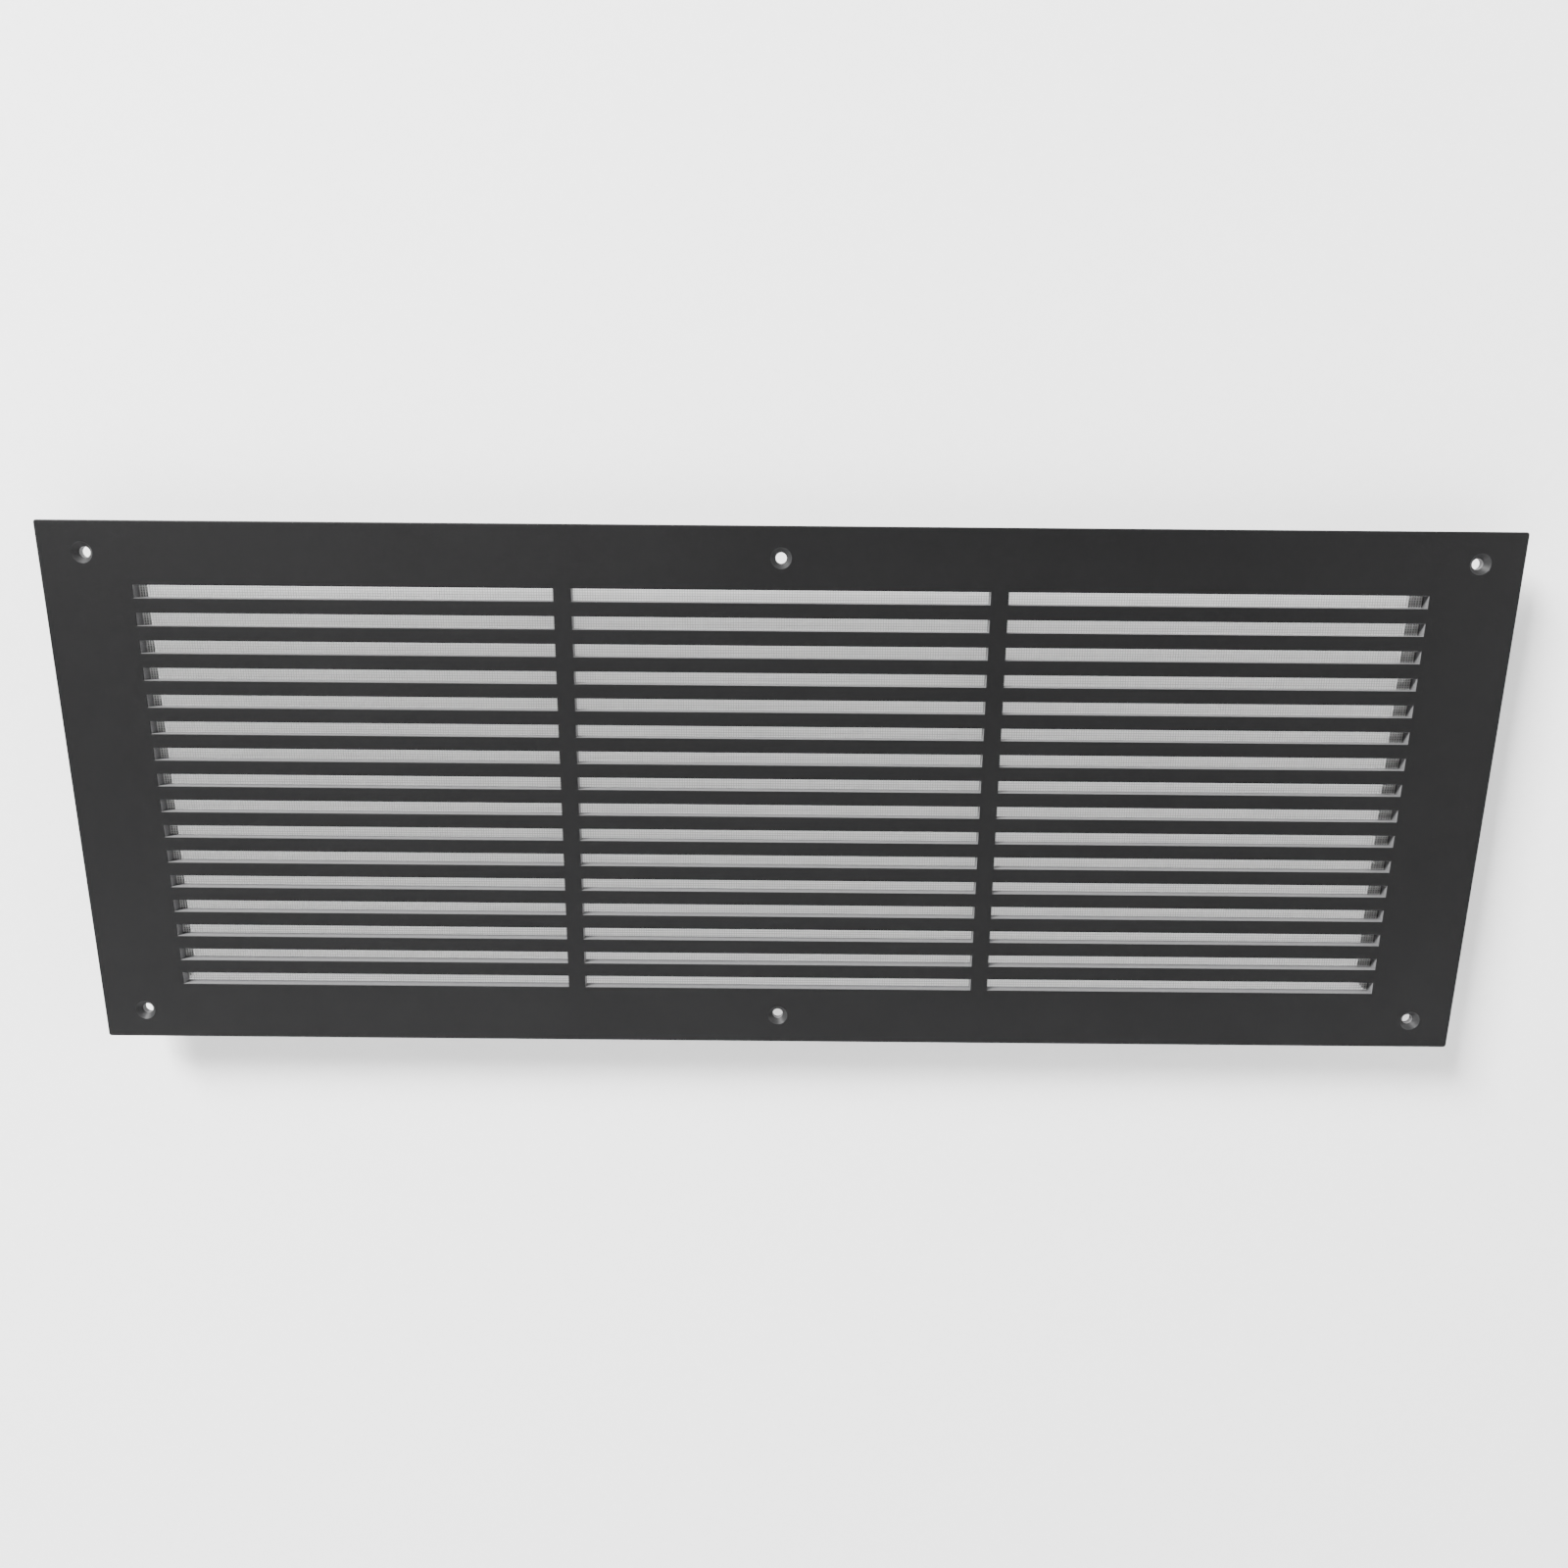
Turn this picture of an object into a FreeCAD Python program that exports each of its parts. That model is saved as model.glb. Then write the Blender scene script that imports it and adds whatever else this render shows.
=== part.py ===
"""Slotted air grille: a flat front plate with a fine screen clamped behind its slots.

Millimetres. +X right, +Z up, and the front faces -Y. The origin is the centre of the
plate's rear face. Everything behind that face (+Y) sits inside the wall opening.
"""
import FreeCAD, Part
import os

Vec = FreeCAD.Vector

# front plate
PLATE_WIDTH = 400.0
PLATE_HEIGHT = 150.0
PLATE_THICKNESS = 3.0
CORNER_RADIUS = 0.8
EDGE_ROUND = 0.35

# slots
SIDE_BORDER = 24.5
END_BORDER_LEAST = 16.5
BAY_COUNT = 3
MULLION_WIDTH = 5.0
ROW_PITCH = 7.5
SLOT_HEIGHT = 3.4
SLOT_ROUND = 0.3

# screw holes
HOLE_SIDE_INSET = 12.0
HOLE_END_INSET = 8.5
SCREW_HOLE_R = 1.5
COUNTERSINK_R = 2.9

# screen and the strips that clamp it
SCREEN_THICKNESS = 0.4
SCREEN_INSET = 0.8
STRIP_THICKNESS = 1.0
SIDE_STRIP_WIDTH = 10.0
SIDE_STRIP_OVERHANG = 2.9
SIDE_STRIP_SHIFT = -0.75
SIDE_STRIP_RISE = 3.0
SIDE_STRIP_CHAMFER = 3.0
END_STRIP_WIDTH = 5.6
STRIP_GAP = 0.6

# studs welded to the plate, and the washers pushed onto them
STUD_R = 1.0
STUD_LENGTH = 4.0
STUD_TIP_CHAMFER = 0.25
STUD_HOLE_CLEARANCE = 0.25
STUD_END_MARGIN = 8.0
SIDE_STUD_COUNT = 3
END_STUD_COUNT = 4
WASHER_R = 2.4
WASHER_THICKNESS = 0.5
WASHER_BORE_CLEARANCE = 0.05

# values that follow from the sizes above
FIELD_WIDTH = PLATE_WIDTH - 2 * SIDE_BORDER
SLOT_LENGTH = (FIELD_WIDTH - (BAY_COUNT - 1) * MULLION_WIDTH) / BAY_COUNT
ROW_COUNT = int((PLATE_HEIGHT - 2 * END_BORDER_LEAST - SLOT_HEIGHT) / ROW_PITCH) + 1
FIELD_HEIGHT = (ROW_COUNT - 1) * ROW_PITCH + SLOT_HEIGHT
COUNTERSINK_DEPTH = COUNTERSINK_R - SCREW_HOLE_R
STRIP_INNER_X = FIELD_WIDTH / 2 - SIDE_STRIP_OVERHANG
STRIP_OUTER_X = STRIP_INNER_X + SIDE_STRIP_WIDTH
SIDE_STRIP_HEIGHT = FIELD_HEIGHT + SIDE_STRIP_RISE
END_STRIP_INNER_Z = FIELD_HEIGHT / 2 + STRIP_GAP
END_STRIP_OUTER_Z = END_STRIP_INNER_Z + END_STRIP_WIDTH
END_STRIP_LENGTH = 2 * (STRIP_INNER_X - STRIP_GAP)
STRIP_FRONT_Y = SCREEN_THICKNESS
WASHER_FRONT_Y = SCREEN_THICKNESS + STRIP_THICKNESS


def save(name, shape):
    shape.exportStep(os.path.join("parts", name + ".step"))


def box(x_size, y_size, z_size, x, y, z):
    """A box centred on x and z whose front face is at y."""
    return Part.makeBox(x_size, y_size, z_size, Vec(x - x_size / 2, y, z - z_size / 2))


def rod(radius, length, x, y, z):
    """A cylinder along +Y that starts at y."""
    return Part.makeCylinder(radius, length, Vec(x, y, z), Vec(0, 1, 0))


def edges_along(shape, direction, test):
    """Straight edges parallel to direction whose midpoint passes the test."""
    found = []
    for edge in shape.Edges:
        if len(edge.Vertexes) != 2:
            continue
        run = edge.Vertexes[1].Point - edge.Vertexes[0].Point
        middle = (edge.Vertexes[0].Point + edge.Vertexes[1].Point) * 0.5
        if run.Length > 1e-6 and abs(run.normalize().dot(direction)) > 0.999 and test(middle):
            found.append(edge)
    return found


def slot_centres():
    """Centre (x, z) of every slot, row by row from the top."""
    centres = []
    for row in range(ROW_COUNT):
        z = FIELD_HEIGHT / 2 - SLOT_HEIGHT / 2 - row * ROW_PITCH
        for bay in range(BAY_COUNT):
            x = (bay - (BAY_COUNT - 1) / 2) * (SLOT_LENGTH + MULLION_WIDTH)
            centres.append((x, z))
    return centres


def screw_centres():
    """Centre (x, z) of the screw holes: the four corners and the middle of each long edge."""
    x_hole = PLATE_WIDTH / 2 - HOLE_SIDE_INSET
    z_hole = PLATE_HEIGHT / 2 - HOLE_END_INSET
    return [(x, z) for z in (z_hole, -z_hole) for x in (-x_hole, 0.0, x_hole)]


def plate_blank():
    """The plate with rounded corners and a softened front edge."""
    blank = box(PLATE_WIDTH, PLATE_THICKNESS, PLATE_HEIGHT, 0, -PLATE_THICKNESS, 0)
    blank = blank.makeFillet(CORNER_RADIUS, edges_along(blank, Vec(0, 1, 0), lambda p: True))
    front = [edge for edge in blank.Edges if edge.BoundBox.YMax < -PLATE_THICKNESS + 1e-4]
    return blank.makeFillet(EDGE_ROUND, front)


def slot_cutter(x, z):
    """A straight slot through the plate."""
    return box(SLOT_LENGTH, PLATE_THICKNESS + 2, SLOT_HEIGHT, x, -PLATE_THICKNESS - 1, z)


def screw_cutter(x, z):
    """A clearance hole with a ninety degree countersink at the front face."""
    hole = rod(SCREW_HOLE_R, PLATE_THICKNESS + 2, x, -PLATE_THICKNESS - 1, z)
    sink = Part.makeCone(COUNTERSINK_R, SCREW_HOLE_R, COUNTERSINK_DEPTH,
                         Vec(x, -PLATE_THICKNESS, z), Vec(0, 1, 0))
    return hole.fuse(sink)


def make_front_plate():
    """The plate with all its slots and screw holes, every slot's front edge rounded."""
    cutters = [slot_cutter(x, z) for x, z in slot_centres()]
    cutters += [screw_cutter(x, z) for x, z in screw_centres()]
    plate = plate_blank().cut(Part.makeCompound(cutters))
    solid = plate.Solids[0]
    lips = [edge for edge in solid.Edges if is_slot_lip(edge)]
    return solid.makeFillet(SLOT_ROUND, lips)


def is_slot_lip(edge):
    """True for a straight edge of a slot in the front face."""
    bounds = edge.BoundBox
    in_front = bounds.YMax < -PLATE_THICKNESS + 1e-4
    in_width = abs(bounds.Center.x) < FIELD_WIDTH / 2 + 1e-3
    in_height = abs(bounds.Center.z) < FIELD_HEIGHT / 2 + 1e-3
    return in_front and in_width and in_height


def side_stud_points(side):
    """Stud centres down one side strip, midway across the part that lies behind the border."""
    x = side * (FIELD_WIDTH / 2 + STRIP_OUTER_X) / 2 + SIDE_STRIP_SHIFT
    reach = FIELD_HEIGHT / 2 - STUD_END_MARGIN
    step = 2 * reach / (SIDE_STUD_COUNT - 1)
    return [(x, reach - index * step) for index in range(SIDE_STUD_COUNT)]


def end_stud_points(end):
    """Stud centres along the top strip (end 1) or the bottom strip (end -1)."""
    z = end * (END_STRIP_INNER_Z + END_STRIP_OUTER_Z) / 2
    reach = END_STRIP_LENGTH / 2 - STUD_END_MARGIN
    step = 2 * reach / (END_STUD_COUNT - 1)
    return [(SIDE_STRIP_SHIFT + reach - index * step, z) for index in range(END_STUD_COUNT)]


def stud_points():
    points = []
    for sign in (-1, 1):
        points += side_stud_points(sign)
        points += end_stud_points(sign)
    return points


def pierced(sheet, points):
    """The sheet with a clearance hole for each stud that passes through it."""
    depth = 2 * STUD_LENGTH
    holes = [rod(STUD_R + STUD_HOLE_CLEARANCE, depth, x, -STUD_LENGTH, z) for x, z in points]
    return sheet.cut(Part.makeCompound(holes))


def make_insect_screen():
    """The screen's plain envelope, pierced where the studs pass through it."""
    width = 2 * (STRIP_OUTER_X - SCREEN_INSET)
    height = 2 * (END_STRIP_OUTER_Z - SCREEN_INSET)
    sheet = box(width, SCREEN_THICKNESS, height, SIDE_STRIP_SHIFT, 0, 0)
    return pierced(sheet, stud_points())


def make_side_strip(side):
    """A flat strip down one side of the screen, its inner corners cut at forty-five degrees."""
    x = side * (STRIP_INNER_X + STRIP_OUTER_X) / 2 + SIDE_STRIP_SHIFT
    z = SIDE_STRIP_RISE / 2
    strip = box(SIDE_STRIP_WIDTH, STRIP_THICKNESS, SIDE_STRIP_HEIGHT, x, STRIP_FRONT_Y, z)
    inner = edges_along(strip, Vec(0, 1, 0), lambda p: side * (p.x - x) < 0)
    strip = strip.makeChamfer(SIDE_STRIP_CHAMFER, inner)
    return pierced(strip, side_stud_points(side))


def make_end_strip(end):
    """The flat strip above (end 1) or below (end -1) the slots, between the side strips."""
    z = end * (END_STRIP_INNER_Z + END_STRIP_OUTER_Z) / 2
    strip = box(END_STRIP_LENGTH, STRIP_THICKNESS, END_STRIP_WIDTH,
                SIDE_STRIP_SHIFT, STRIP_FRONT_Y, z)
    return pierced(strip, end_stud_points(end))


def make_studs():
    """Plain studs on the plate's rear face, tips chamfered."""
    studs = []
    for x, z in stud_points():
        shank = rod(STUD_R, STUD_LENGTH - STUD_TIP_CHAMFER, x, 0, z)
        tip = Part.makeCone(STUD_R, STUD_R - STUD_TIP_CHAMFER, STUD_TIP_CHAMFER,
                            Vec(x, STUD_LENGTH - STUD_TIP_CHAMFER, z), Vec(0, 1, 0))
        studs.append(shank.fuse(tip).removeSplitter())
    return Part.makeCompound(studs)


def make_washers():
    """Push-on washers that hold the strips against the screen."""
    washers = []
    for x, z in stud_points():
        disc = rod(WASHER_R, WASHER_THICKNESS, x, WASHER_FRONT_Y, z)
        bore = rod(STUD_R + WASHER_BORE_CLEARANCE, STUD_LENGTH, x, 0, z)
        washers.append(disc.cut(bore))
    return Part.makeCompound(washers)


def main():
    os.makedirs("parts", exist_ok=True)
    save("front_plate", make_front_plate())
    save("insect_screen", make_insect_screen())
    save("side_strip_left", make_side_strip(-1))
    save("side_strip_right", make_side_strip(1))
    save("top_strip", make_end_strip(1))
    save("bottom_strip", make_end_strip(-1))
    save("weld_studs", make_studs())
    save("push_on_washers", make_washers())


main()
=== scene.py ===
import math

import bpy
from mathutils import Matrix, Vector


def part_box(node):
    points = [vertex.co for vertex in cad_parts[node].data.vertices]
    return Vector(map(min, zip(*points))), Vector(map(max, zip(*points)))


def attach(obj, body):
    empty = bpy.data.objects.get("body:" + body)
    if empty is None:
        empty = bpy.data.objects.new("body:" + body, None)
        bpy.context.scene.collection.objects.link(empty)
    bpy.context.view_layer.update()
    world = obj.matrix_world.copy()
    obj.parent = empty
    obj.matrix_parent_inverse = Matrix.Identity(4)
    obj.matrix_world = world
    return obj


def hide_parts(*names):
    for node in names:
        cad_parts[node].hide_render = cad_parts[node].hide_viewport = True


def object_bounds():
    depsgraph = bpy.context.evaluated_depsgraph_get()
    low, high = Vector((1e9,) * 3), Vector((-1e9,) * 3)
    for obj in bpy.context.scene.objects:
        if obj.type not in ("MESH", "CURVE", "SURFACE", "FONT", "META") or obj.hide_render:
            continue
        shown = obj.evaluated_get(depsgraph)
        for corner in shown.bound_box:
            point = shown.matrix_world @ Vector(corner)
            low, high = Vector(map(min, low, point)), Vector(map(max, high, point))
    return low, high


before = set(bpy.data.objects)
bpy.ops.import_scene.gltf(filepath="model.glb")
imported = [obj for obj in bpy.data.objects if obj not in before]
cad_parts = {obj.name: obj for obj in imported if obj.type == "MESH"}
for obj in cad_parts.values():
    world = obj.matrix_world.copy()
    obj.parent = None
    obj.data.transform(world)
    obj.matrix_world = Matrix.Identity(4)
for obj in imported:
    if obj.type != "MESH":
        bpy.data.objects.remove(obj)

CAD_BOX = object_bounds()
MM = 0.001

# the screen's wires
WIRE = 0.16 * MM
WIRE_PITCH = 0.70 * MM

# the plate's coat: the width of its coated rim, and how much of a face's normal lies along Y
# where the painted wall light (a lighter grey standing in for the light the walls catch) starts to
# fade and where the coat is full
RIM_DEPTH = 1.0 * MM
WALL_LIGHT_BELOW = 0.30
COATED_FROM = 0.78

# the view
FOCAL_PX = 1085.0
SENSOR = 36.0
IMAGE_PX = 1600.0
CAMERA_AT = Vector((1.3, -295.0, 73.0)) * MM
CAMERA_TILT = math.radians(13.26)
CAMERA_ROLL = math.radians(0.5)

# the stage
WALL_Y = 11.0 * MM
WALL_TOP = 1.6
FLOOR_Z = -0.9
FLOOR_FRONT = -3.0
STAGE_REACH = 2.5
STAGE_GLOW = 0.05

# the lights: place, side of the square lamp, watts
KEY_AT, KEY_SIDE, KEY_WATTS = (-1.25, -1.05, 1.55), 0.7, 290.0
FILL_AT, FILL_SIDE, FILL_WATTS = (1.6, -0.5, 0.25), 1.0, 28.0
SKY_STRENGTH = 0.16

# the light panel between the backdrop and the grille
PANEL_INSET = 2.0 * MM
PANEL_GAP = 0.5 * MM
PANEL_WATTS = 0.34


# ---------------------------------------------------------------- node helpers

def new_material(name):
    material = bpy.data.materials.new(name)
    material.use_nodes = True
    tree = material.node_tree
    shader = tree.nodes["Principled BSDF"]
    return material, tree, shader


def add(tree, kind, **settings):
    node = tree.nodes.new(kind)
    for key, value in settings.items():
        setattr(node, key, value)
    return node


def link(tree, source, target):
    tree.links.new(source, target)


def coords(tree, scale=(1.0, 1.0, 1.0)):
    """Object coordinates in metres, stretched by scale."""
    source = add(tree, "ShaderNodeTexCoord")
    mapping = add(tree, "ShaderNodeMapping")
    mapping.inputs["Scale"].default_value = scale
    link(tree, source.outputs["Object"], mapping.inputs["Vector"])
    return mapping.outputs["Vector"]


def noise(tree, vector, scale, detail, roughness):
    node = add(tree, "ShaderNodeTexNoise")
    node.inputs["Scale"].default_value = scale
    node.inputs["Detail"].default_value = detail
    node.inputs["Roughness"].default_value = roughness
    link(tree, vector, node.inputs["Vector"])
    return node.outputs["Fac"]


def ramp(tree, fac, stops):
    node = add(tree, "ShaderNodeValToRGB")
    elements = node.color_ramp.elements
    elements[0].position, elements[0].color = stops[0][0], (*stops[0][1], 1.0)
    elements[1].position, elements[1].color = stops[-1][0], (*stops[-1][1], 1.0)
    for place, colour in stops[1:-1]:
        mid = elements.new(place)
        mid.color = (*colour, 1.0)
    link(tree, fac, node.inputs["Fac"])
    return node.outputs["Color"]


def spread(tree, fac, low, high):
    """Maps a noise value from 0.3-0.7 to low-high."""
    node = add(tree, "ShaderNodeMapRange")
    node.inputs["From Min"].default_value = 0.3
    node.inputs["From Max"].default_value = 0.7
    node.inputs["To Min"].default_value = low
    node.inputs["To Max"].default_value = high
    link(tree, fac, node.inputs["Value"])
    return node.outputs["Result"]


def bump(tree, height, strength, distance):
    node = add(tree, "ShaderNodeBump")
    node.inputs["Strength"].default_value = strength
    node.inputs["Distance"].default_value = distance
    link(tree, height, node.inputs["Height"])
    return node.outputs["Normal"]


def absolute(tree, value):
    node = add(tree, "ShaderNodeMath", operation="ABSOLUTE")
    link(tree, value, node.inputs[0])
    return node.outputs["Value"]


def multiply(tree, first, second):
    """The product of two colours."""
    node = add(tree, "ShaderNodeMixRGB", blend_type="MULTIPLY")
    node.inputs["Fac"].default_value = 1.0
    link(tree, first, node.inputs["Color1"])
    link(tree, second, node.inputs["Color2"])
    return node.outputs["Color"]


# ---------------------------------------------------------------- materials

def share_without_wall_light(tree):
    """1 on faces that look along Y and on the plate's rim, 0 on the walls of slots and holes, which
    get the painted wall light.
    """
    source = add(tree, "ShaderNodeTexCoord")
    facing = add(tree, "ShaderNodeSeparateXYZ")
    link(tree, source.outputs["Normal"], facing.inputs["Vector"])
    fade = add(tree, "ShaderNodeMapRange")
    fade.inputs["From Min"].default_value = WALL_LIGHT_BELOW
    fade.inputs["From Max"].default_value = COATED_FROM
    link(tree, absolute(tree, facing.outputs["Y"]), fade.inputs["Value"])
    share = fade.outputs["Result"]
    place = add(tree, "ShaderNodeSeparateXYZ")
    link(tree, source.outputs["Object"], place.inputs["Vector"])
    high = CAD_BOX[1]
    for axis, edge in (("X", high[0]), ("Z", high[2])):
        rim = add(tree, "ShaderNodeMath", operation="GREATER_THAN")
        link(tree, absolute(tree, place.outputs[axis]), rim.inputs[0])
        rim.inputs[1].default_value = edge - RIM_DEPTH
        either = add(tree, "ShaderNodeMath", operation="MAXIMUM")
        link(tree, share, either.inputs[0])
        link(tree, rim.outputs["Value"], either.inputs[1])
        share = either.outputs["Value"]
    return share


def powder_coat():
    """Matt dark grey powder coat with a fine grain; the walls of slots and holes get a lighter
    grey, painted light for the light they catch.
    """
    material, tree, shader = new_material("powder_coat")
    vector = coords(tree)
    grain = noise(tree, vector, 2600.0, 2.0, 0.6)
    mottle = noise(tree, vector, 22.0, 4.0, 0.6)
    tone = ramp(tree, mottle, [(0.30, (0.0046, 0.0046, 0.0048)),
                               (0.55, (0.0052, 0.0052, 0.0054)),
                               (0.75, (0.0058, 0.0058, 0.0060))])
    speck = ramp(tree, grain, [(0.35, (0.90, 0.90, 0.90)), (0.70, (1.10, 1.10, 1.10))])
    # painted light: a lighter grey on the walls of slots and holes and on part of the countersinks,
    # standing in for the light they catch
    painted_wall_light = ramp(tree, grain, [(0.35, (0.080, 0.080, 0.082)), (0.70, (0.120, 0.120, 0.122))])
    coat_and_wall_light = add(tree, "ShaderNodeMixRGB", blend_type="MIX")
    link(tree, share_without_wall_light(tree), coat_and_wall_light.inputs["Fac"])
    link(tree, painted_wall_light, coat_and_wall_light.inputs["Color1"])
    link(tree, multiply(tree, tone, speck), coat_and_wall_light.inputs["Color2"])
    link(tree, coat_and_wall_light.outputs["Color"], shader.inputs["Base Color"])
    link(tree, spread(tree, grain, 0.46, 0.60), shader.inputs["Roughness"])
    link(tree, bump(tree, grain, 0.35, 0.00006), shader.inputs["Normal"])
    shader.inputs["Specular IOR Level"].default_value = 0.14
    return material


def rolled_aluminium():
    """Bare rolled strip: fine lines along its length, slightly uneven dull grey."""
    material, tree, shader = new_material("rolled_aluminium")
    lines = noise(tree, coords(tree, (1.0, 1.0, 0.03)), 2200.0, 3.0, 0.65)
    cloud = noise(tree, coords(tree), 60.0, 4.0, 0.6)
    tone = ramp(tree, lines, [(0.30, (0.32, 0.32, 0.322)), (0.70, (0.50, 0.50, 0.503))])
    stain = ramp(tree, cloud, [(0.30, (0.88, 0.88, 0.87)), (0.70, (1.0, 1.0, 1.0))])
    link(tree, multiply(tree, tone, stain), shader.inputs["Base Color"])
    link(tree, spread(tree, lines, 0.42, 0.62), shader.inputs["Roughness"])
    link(tree, bump(tree, lines, 0.25, 0.00004), shader.inputs["Normal"])
    shader.inputs["Metallic"].default_value = 0.3
    return material


def drawn_wire():
    """Clean drawn wire with a faint change of tone from place to place."""
    material, tree, shader = new_material("drawn_wire")
    cloud = noise(tree, coords(tree), 300.0, 3.0, 0.6)
    tone = ramp(tree, cloud, [(0.30, (0.58, 0.58, 0.575)), (0.70, (0.68, 0.68, 0.675))])
    link(tree, tone, shader.inputs["Base Color"])
    link(tree, spread(tree, cloud, 0.40, 0.60), shader.inputs["Roughness"])
    return material


def flashed_steel():
    """Copper-flashed weld stud, dulled by handling."""
    material, tree, shader = new_material("flashed_steel")
    rings = noise(tree, coords(tree, (0.2, 1.0, 0.2)), 5200.0, 2.0, 0.5)
    cloud = noise(tree, coords(tree), 700.0, 4.0, 0.6)
    tone = ramp(tree, cloud, [(0.30, (0.36, 0.25, 0.19)), (0.70, (0.52, 0.40, 0.32))])
    link(tree, tone, shader.inputs["Base Color"])
    link(tree, spread(tree, cloud, 0.30, 0.52), shader.inputs["Roughness"])
    link(tree, bump(tree, rings, 0.3, 0.00005), shader.inputs["Normal"])
    shader.inputs["Metallic"].default_value = 0.9
    return material


def spring_steel():
    """Dark lightly oiled spring steel."""
    material, tree, shader = new_material("spring_steel")
    cloud = noise(tree, coords(tree), 900.0, 4.0, 0.6)
    tone = ramp(tree, cloud, [(0.30, (0.20, 0.20, 0.21)), (0.70, (0.36, 0.36, 0.37))])
    link(tree, tone, shader.inputs["Base Color"])
    link(tree, spread(tree, cloud, 0.25, 0.45), shader.inputs["Roughness"])
    link(tree, bump(tree, cloud, 0.2, 0.00004), shader.inputs["Normal"])
    shader.inputs["Metallic"].default_value = 0.9
    return material


def studio_white():
    """Matt pale studio surface, seen from its front only, so the object's back can be viewed."""
    material, tree, shader = new_material("studio_white")
    tooth = noise(tree, coords(tree), 400.0, 3.0, 0.6)
    tone = ramp(tree, tooth, [(0.30, (0.88, 0.88, 0.88)), (0.70, (0.90, 0.90, 0.90))])
    link(tree, tone, shader.inputs["Base Color"])
    shader.inputs["Roughness"].default_value = 0.9
    shader.inputs["Specular IOR Level"].default_value = 0.1
    shader.inputs["Emission Color"].default_value = (1.0, 1.0, 1.0, 1.0)
    shader.inputs["Emission Strength"].default_value = STAGE_GLOW
    side = add(tree, "ShaderNodeNewGeometry")
    clear = add(tree, "ShaderNodeBsdfTransparent")
    one_sided = add(tree, "ShaderNodeMixShader")
    link(tree, side.outputs["Backfacing"], one_sided.inputs["Fac"])
    link(tree, shader.outputs["BSDF"], one_sided.inputs[1])
    link(tree, clear.outputs["BSDF"], one_sided.inputs[2])
    link(tree, one_sided.outputs["Shader"], tree.nodes["Material Output"].inputs["Surface"])
    return material


def dress(node, material):
    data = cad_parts[node].data
    data.materials.clear()
    data.materials.append(material)


# ---------------------------------------------------------------- wire screen

def square_bar(verts, faces, low, high):
    """A square wire between two opposite corners."""
    base = len(verts)
    for z in (low.z, high.z):
        for x, y in ((low.x, low.y), (high.x, low.y), (high.x, high.y), (low.x, high.y)):
            verts.append((x, y, z))
    quads = ((0, 3, 2, 1), (4, 5, 6, 7), (0, 1, 5, 4), (1, 2, 6, 5), (2, 3, 7, 6), (3, 0, 4, 7))
    faces.extend(tuple(base + i for i in quad) for quad in quads)


def build_screen():
    """Wires in the screen's place, not interwoven: upright ones in front, level ones behind."""
    low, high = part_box("insect_screen")
    verts, faces = [], []
    middle_y = (low.y + high.y) / 2
    across = int((high.x - low.x - WIRE) / WIRE_PITCH)
    start_x = (low.x + high.x - across * WIRE_PITCH) / 2
    for index in range(across + 1):
        x = start_x + index * WIRE_PITCH
        square_bar(verts, faces, Vector((x - WIRE / 2, middle_y - WIRE, low.z)),
                   Vector((x + WIRE / 2, middle_y, high.z)))
    up = int((high.z - low.z - WIRE) / WIRE_PITCH)
    start_z = (low.z + high.z - up * WIRE_PITCH) / 2
    for index in range(up + 1):
        z = start_z + index * WIRE_PITCH
        square_bar(verts, faces, Vector((low.x, middle_y, z - WIRE / 2)),
                   Vector((high.x, middle_y + WIRE, z + WIRE / 2)))
    mesh = bpy.data.meshes.new("wire_screen")
    mesh.from_pydata(verts, [], faces)
    mesh.update()
    screen = bpy.data.objects.new("wire_screen", mesh)
    bpy.context.scene.collection.objects.link(screen)
    return screen


# ---------------------------------------------------------------- stage

def plane(name, corners, material):
    mesh = bpy.data.meshes.new(name)
    mesh.from_pydata(corners, [], [tuple(range(len(corners)))])
    mesh.update()
    mesh.materials.append(material)
    thing = bpy.data.objects.new(name, mesh)
    bpy.context.scene.collection.objects.link(thing)


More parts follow.
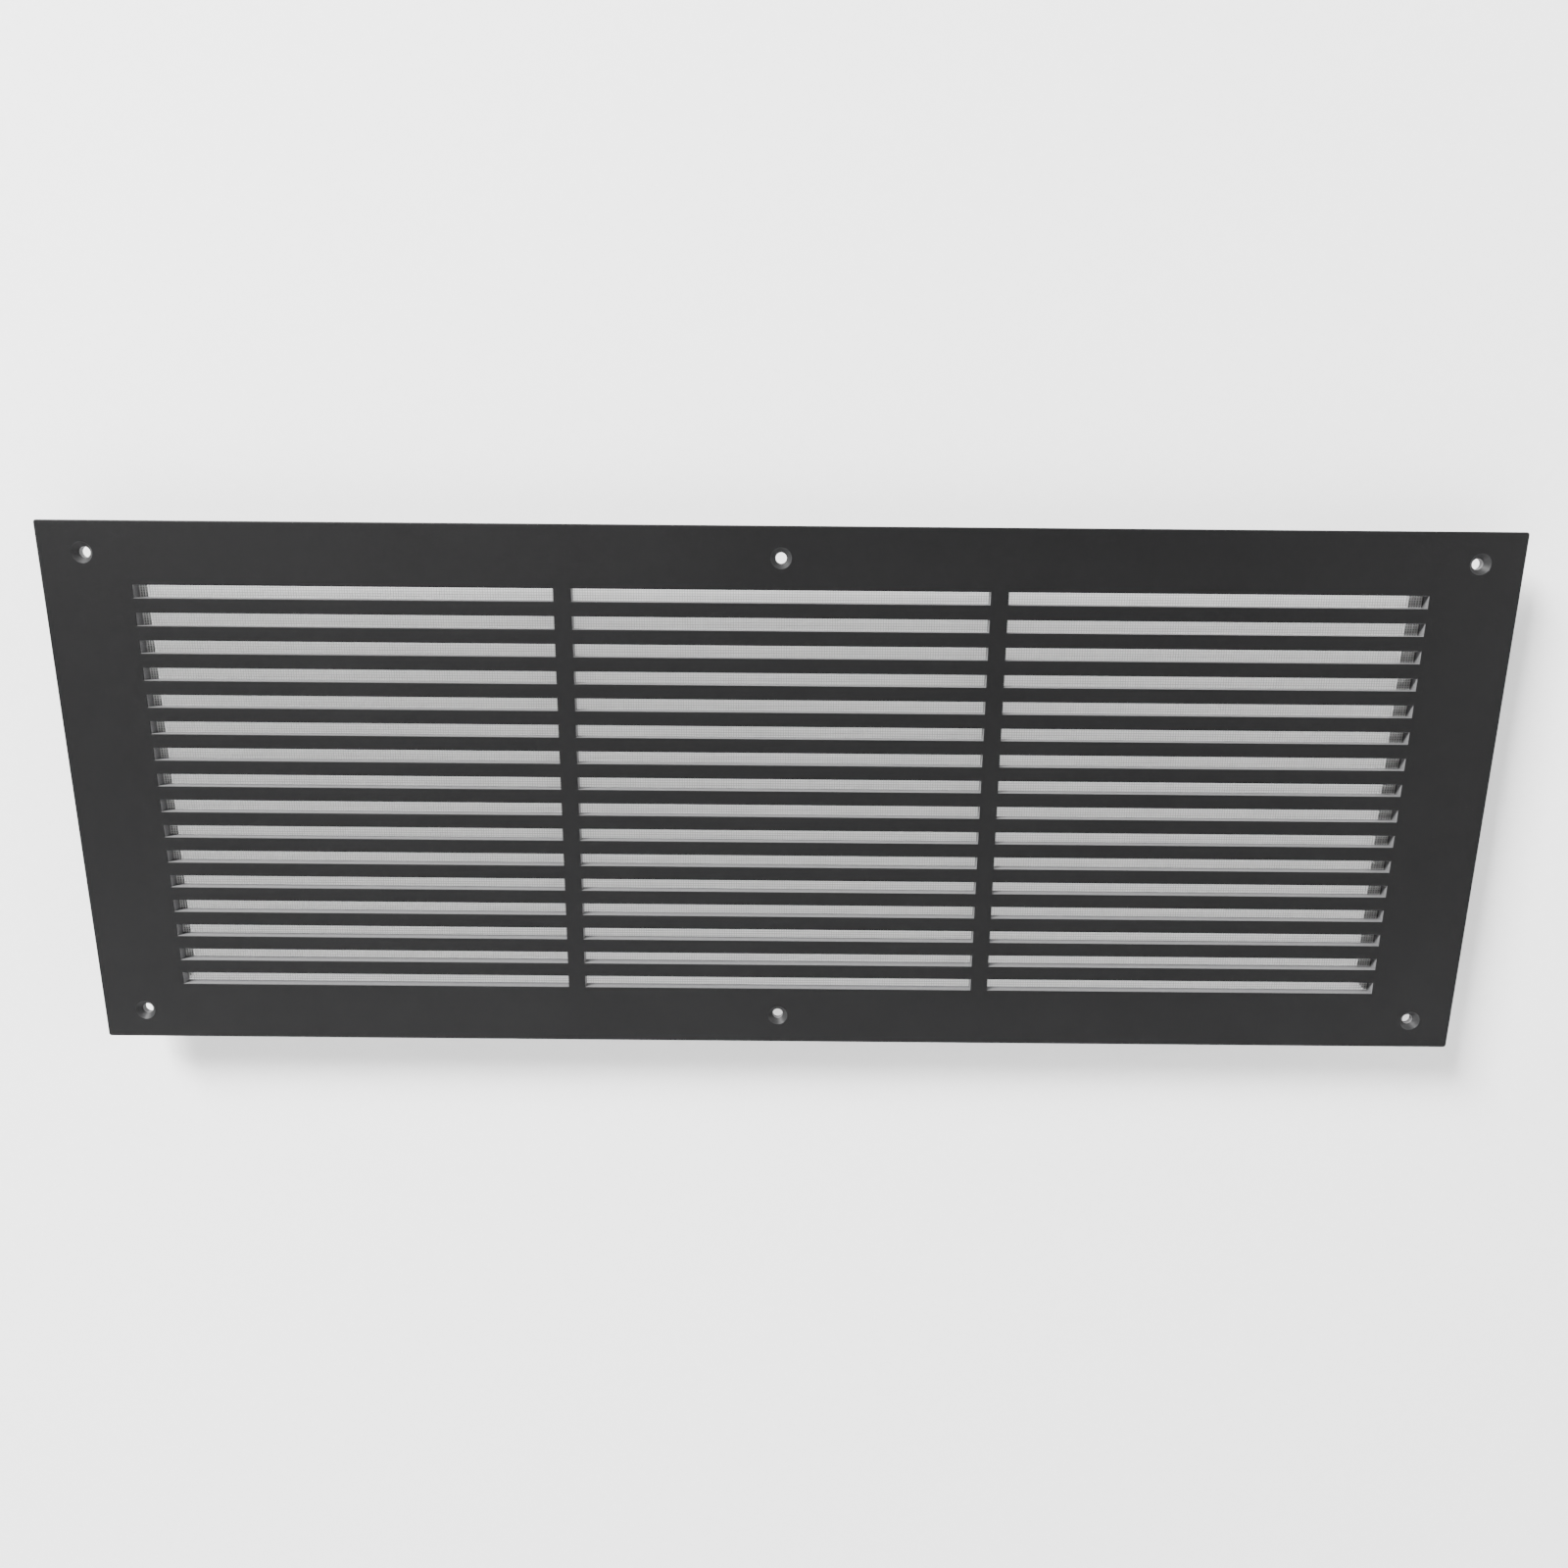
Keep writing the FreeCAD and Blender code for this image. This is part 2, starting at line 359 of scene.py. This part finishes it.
def build_stage():
    white = studio_white()
    left, right = -STAGE_REACH, STAGE_REACH
    plane("backdrop", [(left, WALL_Y, FLOOR_Z), (right, WALL_Y, FLOOR_Z),
                       (right, WALL_Y, WALL_TOP), (left, WALL_Y, WALL_TOP)], white)
    plane("floor", [(left, FLOOR_FRONT, FLOOR_Z), (right, FLOOR_FRONT, FLOOR_Z),
                    (right, WALL_Y, FLOOR_Z), (left, WALL_Y, FLOOR_Z)], white)


def area_light(name, place, target, width, height, power):
    data = bpy.data.lights.new(name, "AREA")
    data.shape = "RECTANGLE"
    data.size = width
    data.size_y = height
    data.energy = power
    lamp = bpy.data.objects.new(name, data)
    lamp.location = place
    lamp.rotation_euler = (Vector(target) - Vector(place)).to_track_quat("-Z", "Y").to_euler()
    bpy.context.scene.collection.objects.link(lamp)


def build_lights():
    area_light("key", KEY_AT, (0, 0, 0), KEY_SIDE, KEY_SIDE, KEY_WATTS)
    area_light("fill", FILL_AT, (0, 0, 0), FILL_SIDE, FILL_SIDE, FILL_WATTS)
    low, high = CAD_BOX
    panel_y = WALL_Y - PANEL_GAP
    area_light("panel", (0, panel_y, 0), (0, panel_y - 1, 0),
               high[0] - low[0] - 2 * PANEL_INSET, high[2] - low[2] - 2 * PANEL_INSET, PANEL_WATTS)
    world = bpy.data.worlds.new("studio")
    world.use_nodes = True
    sky = world.node_tree.nodes["Background"]
    sky.inputs["Color"].default_value = (1.0, 1.0, 1.0, 1.0)
    sky.inputs["Strength"].default_value = SKY_STRENGTH
    bpy.context.scene.world = world


def build_camera():
    data = bpy.data.cameras.new("camera")
    data.sensor_width = SENSOR
    data.lens = SENSOR * FOCAL_PX / IMAGE_PX
    data.clip_start = 0.01
    camera = bpy.data.objects.new("camera", data)
    bpy.context.scene.collection.objects.link(camera)
    tilt = Matrix.Rotation(math.pi / 2 - CAMERA_TILT, 4, "X")
    roll = Matrix.Rotation(CAMERA_ROLL, 4, "Z")
    camera.matrix_world = Matrix.Translation(CAMERA_AT) @ tilt @ roll
    bpy.context.scene.camera = camera


# ---------------------------------------------------------------- scene

dress("front_plate", powder_coat())
strip = rolled_aluminium()
for name in ("side_strip_left", "side_strip_right", "top_strip", "bottom_strip"):
    dress(name, strip)
dress("weld_studs", flashed_steel())
dress("push_on_washers", spring_steel())

screen = build_screen()
screen.data.materials.append(drawn_wire())
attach(screen, "root")
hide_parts("insect_screen")

build_stage()
build_lights()
build_camera()
